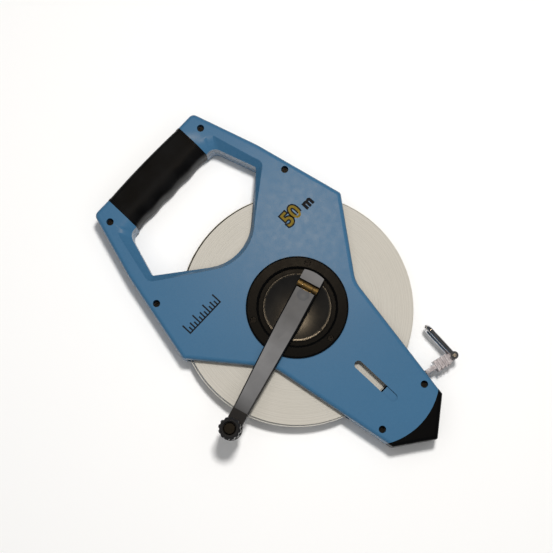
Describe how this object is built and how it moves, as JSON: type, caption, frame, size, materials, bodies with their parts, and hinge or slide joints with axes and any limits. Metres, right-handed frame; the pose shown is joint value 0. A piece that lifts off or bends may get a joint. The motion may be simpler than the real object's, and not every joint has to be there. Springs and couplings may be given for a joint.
{
  "type": "surveyor tape reel",
  "caption": "Open-frame hand reel for a long measuring tape, with a rubber grip, a black nose cap, a folding crank with a fluted knob, and a hook on the tape's end.",
  "frame": {"origin": "where the spool's axis meets the back resting plane", "axes": "+X from the spool's axis to the nose, +Y to the side where the tape leaves, +Z to the crank side"},
  "size_m": [0.3417, 0.2198, 0.0768],
  "materials": {
    "shell_blue": "satin moulded",
    "black_rubber": "matt",
    "black_moulding": "satin moulded",
    "dark_moulding": "satin moulded",
    "dark_screws": "black oxide",
    "steel": "turned",
    "tape_white": "coated fibreglass tape",
    "gloss_dish": "polished",
    "crank_grey": "satin moulded",
    "brass_hinge": "plain",
    "clear_fitting": "cloudy moulded",
    "hook_chrome": "polished plate",
    "roller_white": "acetal"
  },
  "bodies": {
    "frame": {"back_shell": "shell_blue", "front_shell": "shell_blue", "handle_grip": "black_rubber", "nose_bumper": "black_moulding", "frame_screws": "dark_screws", "front_bearing_ring": "black_moulding", "ring_screws": "dark_screws", "back_bearing_cap": "black_moulding", "back_cap_screws": "dark_screws", "axle": "steel", "axle_washer": "steel", "axle_clip": "steel", "roller_pins": "steel"},
    "reel": {"spool_drum": "black_moulding", "tape_anchor_pin": "steel", "tape_pack": "tape_white", "tape_outer_turn": "tape_white", "hub_cup": "gloss_dish", "crank_bracket": "crank_grey", "bracket_screws": "steel", "hinge_pin": "steel"},
    "crank": {"crank_arm": "crank_grey", "hinge_barrel": "brass_hinge", "crank_tip": "dark_moulding", "knob_spindle": "steel", "knob_washer": "steel"},
    "knob": {"crank_knob": "dark_moulding"},
    "tape_end": {"tape_lead": "tape_white", "end_fitting": "clear_fitting", "hook_pin": "steel"},
    "hook": {"end_hook": "hook_chrome"},
    "roller_left": {"guide_roller_left": "roller_white"},
    "roller_right": {"guide_roller_right": "roller_white"}
  },
  "joints": [
    {"name": "reel_spin", "type": "hinge", "parent": "frame", "child": "reel", "pos_m": [0, 0, 0.019], "axis": [0, 0, 1], "continuous": true},
    {"name": "crank_fold", "type": "hinge", "parent": "reel", "child": "crank", "pos_m": [-0.00479, 0.01787, 0.046], "axis": [-0.9659, -0.2588, 0], "range_deg": [0, 90]},
    {"name": "knob_spin", "type": "hinge", "parent": "crank", "child": "knob", "pos_m": [0.02989, -0.11156, 0.06], "axis": [0, 0, 1], "continuous": true},
    {"name": "tape_pull", "type": "slide", "parent": "frame", "child": "tape_end", "axis": [0.2706, 0.9627, 0], "range_m": [0, 0.025]},
    {"name": "hook_swing", "type": "hinge", "parent": "tape_end", "child": "hook", "pos_m": [0.12328, 0.06165, 0.019], "axis": [0, 0, 1], "range_deg": [-190, 0]},
    {"name": "roller_left_spin", "type": "hinge", "parent": "frame", "child": "roller_left", "pos_m": [0.10575, 0.01257, 0.019], "axis": [0, 0, 1], "continuous": true},
    {"name": "roller_right_spin", "type": "hinge", "parent": "frame", "child": "roller_right", "pos_m": [0.11268, 0.01062, 0.019], "axis": [0, 0, 1], "continuous": true}
  ]
}
